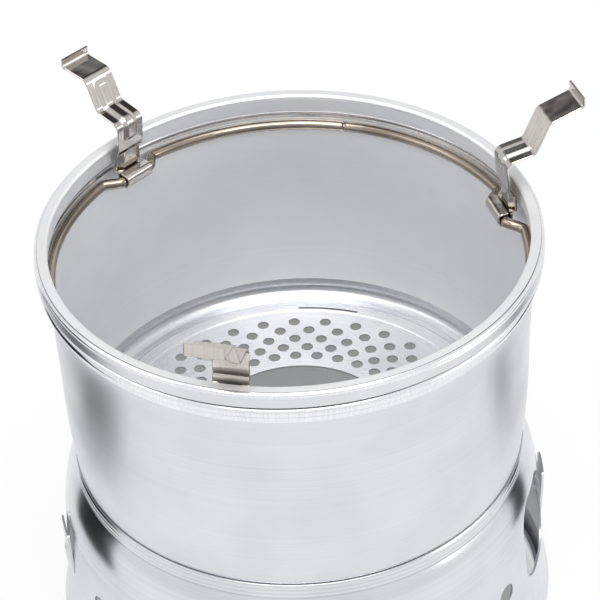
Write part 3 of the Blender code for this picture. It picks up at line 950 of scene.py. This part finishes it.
    def _hook(self, bearing: float) -> Shape:
        """Draw a hook: a curved tongue that leans out towards its top, with a rib in its lower half.

        Its middle surface is at r(z) + e v^p - y^2 / 2R + rib, v the share of its height and y the place
        across it. The rib fades in and out along it, and its top corners are quarter circles.

        Args:
            bearing: where it stands round the axis, in degrees.

        Returns:
            The closed tongue.
        """
        s = self.sizes
        outwards, tangent, up = outwards_axes(bearing)
        share = np.linspace(0.0, 1.0, s.hook_rows)
        height = s.hook_foot_z - s.hook_overlap + (s.hook_top_z - s.hook_foot_z + s.hook_overlap) * share
        across = np.linspace(-s.hook_width / 2, s.hook_width / 2, s.hook_columns)
        base = self._wall_radius(height) - SHEET / 2
        lean = s.hook_reach * share ** s.lean_power
        bend = across ** 2 / (2 * s.hook_bend_r)
        fade = plateau(s.rib_rise, s.rib_fall, share)
        rib = s.rib * fade[:, None] * (1 - smoothstep(*s.rib_half, np.abs(across)))[None]
        middle = base[:, None] + lean[:, None] - bend[None] + rib
        inset = np.minimum(1.0, (s.hook_width / 2 - np.abs(across)) / s.hook_corner_r)
        drop = s.hook_corner_r * (1 - np.sqrt(1 - (1 - inset) ** 2))
        level = height[:, None] - drop[None] * smoothstep(s.corner_start, 1.0, share)[:, None]
        layers = [(middle + offset)[..., None] * outwards + across[None, :, None] * tangent
                  + level[..., None] * up for offset in (SHEET / 2, -SHEET / 2)]
        rows, columns = middle.shape
        count = rows * columns
        front = grid_faces(rows, columns, False, False)
        index = np.arange(count).reshape(rows, columns)
        edge = np.concatenate([index[0, :-1], index[:-1, -1], index[-1, :0:-1], index[:0:-1, 0]])
        after = np.roll(edge, -1)
        rim = np.stack([edge, edge + count, after + count, after], axis=-1)
        faces = np.vstack([front, front[:, ::-1] + count, rim])
        return Shape(np.vstack([layer.reshape(-1, 3) for layer in layers]), faces.tolist())

    def build(self, finishes: dict[str, bpy.types.Material]) -> list[bpy.types.Object]:
        """Make the ring and its two hooks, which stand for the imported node.

        Args:
            finishes: the materials by name.

        Returns:
            The three pieces.
        """
        s = self.sizes
        item = new_object("lower_windshield_skin", turned_shape(*self._outline(), s.steps))
        cut_away(item, self._cuts())
        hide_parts("lower_windshield")
        materials = [finishes[zone.name.lower()] for zone in BaseZone]
        pieces = [dress(item, materials, Body.LOWER)]
        for number, bearing in enumerate(s.hook_degs, start=1):
            hook = new_object(f"pressed_hook_{number}", self._hook(bearing))
            pieces.append(dress(hook, [finishes["wall"]], Body.LOWER, 50.0))
        return pieces


@dataclass(frozen=True)
class RingSizes:
    """The wire ring's sizes."""

    wire_r: float = 1.9
    ring_r: float = 81.85
    drop: float = 12.9
    chord_r: float = 76.3
    chord_drop: float = 12.3
    chord_half: float = 6.6
    chord_reach: float = 1.2
    jog: float = 5.6
    butt_gap: float = 0.4
    butt_deg: float = 89.2
    end_share: float = 0.86
    grain_step: float = 0.7
    sides: int = 28
    stations: int = 720
    route_points: int = 2600


class SupportRing:
    """The stainless wire ring, with a straight inward chord at each pot support."""

    def __init__(self, sizes: RingSizes) -> None:
        """Keep the sizes."""
        self.sizes = sizes

    def _path(self) -> np.ndarray:
        """Draw the route: r = R on the arcs, easing by 3t^2 - 2t^3 to c / cos a at each chord.

        Returns:
            Its points, (stations, 3).
        """
        s = self.sizes
        half_gap = math.degrees(s.butt_gap / 2 / s.ring_r)
        first, last = s.butt_deg + half_gap, s.butt_deg + 360.0 - half_gap
        angle = np.radians(np.linspace(first, last, s.route_points))
        radius = np.full_like(angle, s.ring_r)
        lift = np.zeros_like(angle)
        for bearing in SUPPORT_BEARINGS.values():
            off = (angle - math.radians(bearing) + math.pi) % (2 * math.pi) - math.pi
            # The chord's formula runs away at a right angle to it, far from where it is used.
            near = np.clip(off, -s.chord_reach, s.chord_reach)
            along = s.chord_r * np.tan(near)
            chord = s.chord_r / np.cos(near)
            share = 1 - smoothstep(s.chord_half, s.chord_half + s.jog, np.abs(along))
            radius = radius * (1 - share) + chord * share
            lift = np.maximum(lift, share)
        height = RIM_Z - s.drop + (s.drop - s.chord_drop) * lift
        route = np.column_stack([radius * np.cos(angle), radius * np.sin(angle), height])
        return resampled(route, s.stations)

    def build(self, finishes: dict[str, bpy.types.Material]) -> list[bpy.types.Object]:
        """Make the piece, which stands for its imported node.

        Args:
            finishes: the materials by name.

        Returns:
            The piece, in a list.
        """
        s = self.sizes
        path = self._path()
        along = np.gradient(path, axis=0)
        along /= np.linalg.norm(along, axis=1, keepdims=True)
        side = np.cross(along, np.array([0.0, 0.0, 1.0]))
        side /= np.linalg.norm(side, axis=1, keepdims=True)
        up = np.cross(side, along)
        turn = np.linspace(0.0, 2 * math.pi, s.sides, endpoint=False)
        scale = np.ones(len(path))
        scale[[0, -1]] = s.end_share
        loops = np.stack([np.cos(turn), np.sin(turn)], axis=-1)[None] * s.wire_r * scale[:, None, None]
        shape = swept_shape(path, side, up, loops)
        # The drawing lines follow the way round the wire, and not its width as on a flat strip.
        places = np.broadcast_arrays((turn * s.wire_r)[None], (np.arange(len(path)) * s.grain_step)[:, None])
        shape.uv = np.stack(places, axis=-1).reshape(-1, 2) * MM
        item = new_object("support_ring_wire", shape)
        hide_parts("support_ring")
        return [dress(item, [finishes["wire"]], Body.UPPER, 40.0)]


@dataclass(frozen=True)
class StripSizes:
    """A pot support's sizes, about its hinge; a pan, riser or tip is (outwards, up)."""

    width: float = 12.0
    sheet: float = 0.8
    edge_r: float = 0.22
    curl_gap: float = 0.12
    lip_gap: float = 1.0
    lip_rise: float = 0.1
    hook_bend: float = 1.3
    step_height: float = 11.2
    step: float = 1.0
    step_bend: float = 0.9
    leg_lean: float = 0.2
    plate_lean: float = 2.2
    plate_height: float = 23.1
    bend: float = 2.6
    low_pan: tuple = (10.2, 1.9)
    riser: tuple = (5.0, 11.3)
    top_pan: tuple = (11.5, 3.0)
    tip: tuple = (-0.2, 3.3)
    tip_spread: float = 0.2
    tip_fade: float = 1.0
    ear_half: float = 5.9
    ear_bend: float = 2.6
    ear_flare: float = 1.5
    ear_foot: float = 2.6
    ear_head_gap: float = 1.8
    ear_rise: tuple = (-0.4, 0.2)
    ear_fall: tuple = (-0.3, 0.3)
    rib_width: float = 5.4
    rib_slope: tuple = (-1.5, 0.8)
    rib_height: float = 0.8
    rib_foot: float = 15.0
    rib_head_share: float = 0.88
    rib_fade: float = 2.5
    stations: int = 420
    columns: int = 41


class PotSupport:
    """A polished strip, curled round the ring's chord and bent into two steps with a stamped rib."""

    def __init__(self, body: Body, ring: RingSizes, sizes: StripSizes) -> None:
        """Keep which support this is, the ring it hangs on and its sizes."""
        self.side = body.value.removeprefix("support_")
        self.body = body
        self.ring = ring
        self.sizes = sizes

    def _spine(self) -> np.ndarray:
        """Draw the strip's middle line about the hinge, from hook lip to tip.

        Returns:
            Its points (outwards, up).
        """
        s = self.sizes
        curl_r = self.ring.wire_r + s.curl_gap + s.sheet / 2
        hook = rounded([(curl_r - s.sheet / 2 - s.lip_gap, curl_r + s.lip_rise, 0),
                        (-curl_r, curl_r, s.hook_bend), (-curl_r, 0.0, 0)], 5)
        curl = arc_points((0, 0), curl_r, 180.0, 360.0, 26)
        top_x = curl_r - s.plate_lean
        low = (top_x + s.low_pan[0], s.plate_height + s.low_pan[1])
        riser = (low[0] + s.riser[0], low[1] + s.riser[1])
        fold = (riser[0] + s.top_pan[0], riser[1] + s.top_pan[1])
        strip = rounded([
            (curl_r, 0.0, 0), (curl_r - s.leg_lean, s.step_height - s.step, s.step_bend),
            (top_x + s.step, s.step_height + s.step, s.step_bend), (top_x, s.plate_height, s.bend),
            (*low, s.bend), (*riser, s.bend), (*fold, s.hook_bend),
            (fold[0] + s.tip[0], fold[1] + s.tip[1], 0)], 10)
        return without_repeats(np.vstack([hook[:-1], curl, strip[1:]]))

    def _loops(self, spine: np.ndarray) -> np.ndarray:
        """Draw the strip's section at each station.

        It is a flat loop of the strip's width, raised by a smoothstep hump for the rib, bent down at
        both sides for the ears round the hook, and a little wider at the tip.

        Args:
            spine: the stations' points (outwards, up).

        Returns:
            The sections, (stations, points, 2).
        """
        s = self.sizes
        run = run_lengths(spine)
        up_leg = run > run[np.argmin(spine[:, 1])]
        levels = (s.ear_foot, s.step_height - s.ear_head_gap, s.rib_foot,
                  s.plate_height + s.low_pan[1] + s.riser[1] * s.rib_head_share)
        ear_foot, ear_head, rib_foot, rib_head = [
            run[np.argmax(up_leg & (spine[:, 1] > level))] for level in levels]
        ears = plateau(about(ear_foot, s.ear_rise), about(ear_head, s.ear_fall), run)
        rib = plateau((rib_foot, rib_foot + s.rib_fade), (rib_head - s.rib_fade, rib_head), run)
        tip_start = run[-1] - s.tip[1]
        tip = smoothstep(tip_start - s.tip_fade, tip_start, run)
        half = s.width / 2 + (s.ear_half - s.width / 2) * ears + s.tip_spread * tip
        across = np.linspace(-1.0, 1.0, s.columns)
        top = np.stack(np.broadcast_arrays(across[None] * (half - s.edge_r)[:, None], s.sheet / 2), axis=-1)
        under = top[:, ::-1] * np.array([1.0, -1.0])
        edge = s.sheet / 2 - s.edge_r
        left, right = [np.stack([np.stack([x, np.full_like(half, y)], axis=-1) for y in ends], axis=1)
                       for x, ends in ((-half, (-edge, edge)), (half, (edge, -edge)))]
        loops = np.concatenate([left, top, right, under], axis=1)
        off = np.abs(loops[..., 0])
        hump = s.rib_height * (1 - smoothstep(*about(s.rib_width / 2, s.rib_slope), off))
        flare = s.ear_flare * smoothstep(s.ear_bend, s.ear_half, off)
        loops[..., 1] += hump * rib[:, None] - flare * ears[:, None]
        return loops

    def build(self, finishes: dict[str, bpy.types.Material]) -> list[bpy.types.Object]:
        """Make the piece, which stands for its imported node.

        Args:
            finishes: the materials by name.

        Returns:
            The piece, in a list.
        """
        spine = resampled(self._spine(), self.sizes.stations)
        normal = line_normals(spine)
        outwards, tangent, up = outwards_axes(SUPPORT_BEARINGS[self.side])
        hinge_r, hinge_z = self.ring.chord_r, RIM_Z - self.ring.chord_drop
        centres = (hinge_r + spine[:, :1]) * outwards + (hinge_z + spine[:, 1:]) * up
        normals = normal[:, :1] * outwards + normal[:, 1:] * up
        side = np.broadcast_to(tangent, normals.shape)
        shape = swept_shape(centres, side, normals, self._loops(spine))
        item = new_object(f"pot_support_{self.side}_strip", shape)
        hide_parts(f"pot_support_{self.side}")
        return [dress(item, [finishes["strip"]], self.body, 40.0)]


# Studio and camera

# The lights are turned to this height on the axis, in metres.
AIM_Z = 0.1


@dataclass(frozen=True)
class Softbox:
    """An area light: where it stands, its size and its radiance."""

    name: str
    bearing_deg: float
    elevation_deg: float
    distance: float
    width: float
    height: float
    radiance: float

    def build(self) -> None:
        """Make the light, turned to the middle of the object."""
        light = bpy.data.lights.new(self.name, "AREA")
        light.shape = "RECTANGLE"
        light.size = self.width
        light.size_y = self.height
        light.energy = self.radiance * math.pi * self.width * self.height
        item = bpy.data.objects.new(self.name, light)
        bearing, elevation = math.radians(self.bearing_deg), math.radians(self.elevation_deg)
        flat = self.distance * math.cos(elevation)
        rise = self.distance * math.sin(elevation)
        spot = Vector((flat * math.cos(bearing), flat * math.sin(bearing), rise))
        item.location = spot + Vector((0.0, 0.0, AIM_Z))
        item.rotation_euler = (-spot).to_track_quat("-Z", "Y").to_euler()
        bpy.context.scene.collection.objects.link(item)


def staged_sheet(name: str, corners: list, material: bpy.types.Material) -> bpy.types.Object:
    """Make a flat sheet of the studio, which is no part of the object.

    Args:
        name: its name.
        corners: its four corners, in metres.
        material: its material.

    Returns:
        The sheet.
    """
    mesh = bpy.data.meshes.new(name)
    mesh.from_pydata([list(corner) for corner in corners], [], [(0, 1, 2, 3)])
    mesh.materials.append(material)
    item = bpy.data.objects.new(name, mesh)
    bpy.context.scene.collection.objects.link(item)
    return item


@dataclass(frozen=True)
class Flag:
    """A black card beside the object, which only reflections see."""

    name: str
    bearing_deg: float
    distance: float
    width: float
    height: float

    def build(self, material: bpy.types.Material) -> None:
        """Make the card, upright on the table and square to the object.

        Args:
            material: the card's material.
        """
        outwards, tangent, up = outwards_axes(self.bearing_deg)
        foot = outwards * self.distance - tangent * self.width / 2
        across, rise = tangent * self.width, up * self.height
        item = staged_sheet(self.name, [foot, foot + across, foot + across + rise, foot + rise], material)
        item.visible_camera = False
        item.visible_shadow = False


class Studio:
    """White table, soft lights, two black cards and a pale room that is dark high up at the back."""

    boxes = (
        Softbox("softbox_top", 285.0, 84.0, 1.2, 0.8, 0.6, 1.9),
        Softbox("softbox_right", 0.0, 23.0, 1.2, 0.55, 0.30, 3.6),
        Softbox("softbox_left", 205.0, 44.0, 1.3, 0.6, 0.5, 1.2),
        Softbox("softbox_front", 285.0, 60.0, 1.4, 1.1, 0.42, 5.6),
    )
    flags = (
        Flag("flag_left", 193.0, 0.19, 0.095, 0.165),
        Flag("flag_right", 21.0, 0.20, 0.045, 0.13),
    )
    table_half = 6.0
    table_z = -0.0004
    # The table is lit from within, so that it shows white, and less so under the object, inside these
    # distances from the axis, where the dimmer glow is painted shade.
    table_glow = 0.82
    shaded_glow = 0.27
    shade_edge = (0.080, 0.094)
    # The room's light and its dark patch. The patch comes in between these heights of the direction's
    # z, 30 and 41 degrees up, and between these shares of it towards the back, which faces the camera.
    room_colour = (0.98, 0.98, 0.99, 1.0)
    dark_colour = (0.06, 0.06, 0.065, 1.0)
    room_strength = 0.95
    dark_heights = (0.50, 0.66)
    dark_shares = (0.30, 0.62)
    back = (-0.2588, 0.9659, 0.0)

    def build(self) -> None:
        """Make the table, the lights, the cards and the room's light."""
        bpy.context.scene.view_settings.view_transform = "Standard"
        white = self._matt("white_table", "6E6E6E", self.table_glow)
        self._shade_middle(white)
        half, low = self.table_half, self.table_z
        corners = [(-half, -half, low), (half, -half, low), (half, half, low), (-half, half, low)]
        staged_sheet("studio_floor", corners, white)
        black = self._matt("black_card", "101010", 0.0)
        for box in self.boxes:
            box.build()
        for flag in self.flags:
            flag.build(black)
        self._room()

    @staticmethod
    def _matt(name: str, hex_colour: str, glow: float) -> bpy.types.Material:
        """Make a matt studio material.

        Args:
            name: its name.
            hex_colour: its sRGB colour.
            glow: how strongly it is lit from within.

        Returns:
            The material.
        """
        material = bpy.data.materials.new(name)
        material.use_nodes = True
        shader = material.node_tree.nodes["Principled BSDF"]
        values = {"Base Color": linear_rgba(hex_colour), "Roughness": 0.9, "Specular IOR Level": 0.1,
                  "Emission Color": (1.0, 1.0, 1.0, 1.0), "Emission Strength": glow}
        for key, value in values.items():
            shader.inputs[key].default_value = value
        return material

    def _shade_middle(self, material: bpy.types.Material) -> None:
        """Take the table's own glow away under the object, where no light falls.

        Args:
            material: the table's material.
        """
        tree = material.node_tree
        where = add_node(tree, "ShaderNodeTexCoord", {})
        axis = (0.0, AXIS_Y * MM, 0.0)
        away = add_node(tree, "ShaderNodeVectorMath", {0: where.outputs["Object"], 1: axis},
                        operation="DISTANCE")
        inner, outer = self.shade_edge
        glow = add_node(tree, "ShaderNodeMapRange", {
            0: away.outputs["Value"], 1: inner, 2: outer, 3: self.shaded_glow, 4: self.table_glow})
        tree.links.new(glow.outputs[0], tree.nodes["Principled BSDF"].inputs["Emission Strength"])

    def _room(self) -> None:
        """Make the room's light: pale, but dark at the back, from about 30 to 70 degrees up."""
        world = bpy.data.worlds.new("studio_room")
        bpy.context.scene.world = world
        world.use_nodes = True
        tree = world.node_tree
        background = tree.nodes["Background"]
        where = add_node(tree, "ShaderNodeTexCoord", {})
        parts = add_node(tree, "ShaderNodeSeparateXYZ", {0: where.outputs["Generated"]})
        back = add_node(tree, "ShaderNodeVectorMath", {0: where.outputs["Generated"], 1: self.back},
                        operation="DOT_PRODUCT")
        slopes = ((parts.outputs[2], self.dark_heights), (back.outputs["Value"], self.dark_shares))
        high, behind = [add_node(tree, "ShaderNodeMapRange", {0: value, 1: low, 2: full, 3: 0.0, 4: 1.0})
                        for value, (low, full) in slopes]
        dark = add_node(tree, "ShaderNodeMath", {0: high.outputs[0], 1: behind.outputs[0]},
                        operation="MULTIPLY", use_clamp=True)
        colour = add_node(tree, "ShaderNodeMix", {
            0: dark.outputs[0], MIX_A: self.room_colour, MIX_B: self.dark_colour}, data_type="RGBA")
        tree.links.new(colour.outputs[MIX_RESULT], background.inputs["Color"])
        background.inputs["Strength"].default_value = self.room_strength


@dataclass(frozen=True)
class CameraFit:
    """The camera, fitted to the circles of the object in the photograph."""

    focal_mm: float = 128.69
    sensor_mm: float = 36.0
    distance_mm: float = 724.5
    elevation_deg: float = 36.4285
    yaw_deg: float = 0.2094
    pitch_deg: float = 1.9471
    roll_deg: float = 3.0303
    bearing_deg: float = 15.0
    clip_start_m: float = 0.01

    def build(self) -> None:
        """Make the camera: it stands at the rim's middle plus its distance, turned by the bearing."""
        elevation = math.radians(self.elevation_deg)
        spot = Vector((0.0, -math.cos(elevation), math.sin(elevation))) * self.distance_mm
        ahead = -spot.normalized()
        right = Vector((1.0, 0.0, 0.0))
        level = Matrix((right, right.cross(ahead), -ahead))
        roll, pitch, yaw = [Matrix.Rotation(math.radians(angle), 3, axis) for angle, axis in (
            (self.roll_deg, "Z"), (self.pitch_deg, "X"), (self.yaw_deg, "Y"))]
        facing = (roll @ pitch @ yaw @ level).transposed()
        stand = Matrix.Translation(Vector((0.0, AXIS_Y, RIM_Z)) * MM)
        bearing = Matrix.Rotation(math.radians(self.bearing_deg), 4, "Z")
        data = bpy.data.cameras.new("photo_camera")
        data.sensor_width = self.sensor_mm
        data.lens = self.focal_mm
        data.clip_start = self.clip_start_m
        item = bpy.data.objects.new("photo_camera", data)
        item.matrix_world = stand @ bearing @ Matrix.Translation(spot * MM) @ facing.to_4x4()
        bpy.context.scene.collection.objects.link(item)
        bpy.context.scene.camera = item


def main() -> None:
    """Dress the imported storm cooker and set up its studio."""
    logging.basicConfig(level=logging.INFO)
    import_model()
    finishes = {
        "wall": SPUN_WALL.build(), "neck": BURNISHED_NECK.build(), "inside": SPUN_INSIDE.build(),
        "rim": BRUSHED_RIM.build(), "floor": PUNCHED_FLOOR.build(), "strip": POLISHED_STRIP.build(),
        "wire": DRAWN_WIRE.build(),
    }
    bowl, ring = BowlSizes(), RingSizes()
    strips = {
        Body.RIGHT: StripSizes(top_pan=(12.2, 4.2), tip=(-0.3, 3.5)),
        Body.LEFT: StripSizes(top_pan=(11.5, 1.0), tip=(-0.3, 3.3)),
        Body.FRONT: StripSizes(top_pan=(11.5, 3.8), tip=(-0.7, 4.1)),
    }
    assemblies = [UpperWindshield(bowl), LowerWindshield(bowl, BaseSizes()), SupportRing(ring)]
    assemblies += [PotSupport(body, ring, sizes) for body, sizes in strips.items()]
    for assembly in assemblies:
        for piece in assembly.build(finishes):
            LOG.info("%s: %d faces", piece.name, len(piece.data.polygons))
    Studio().build()
    CameraFit().build()


if __name__ == "__main__":
    main()
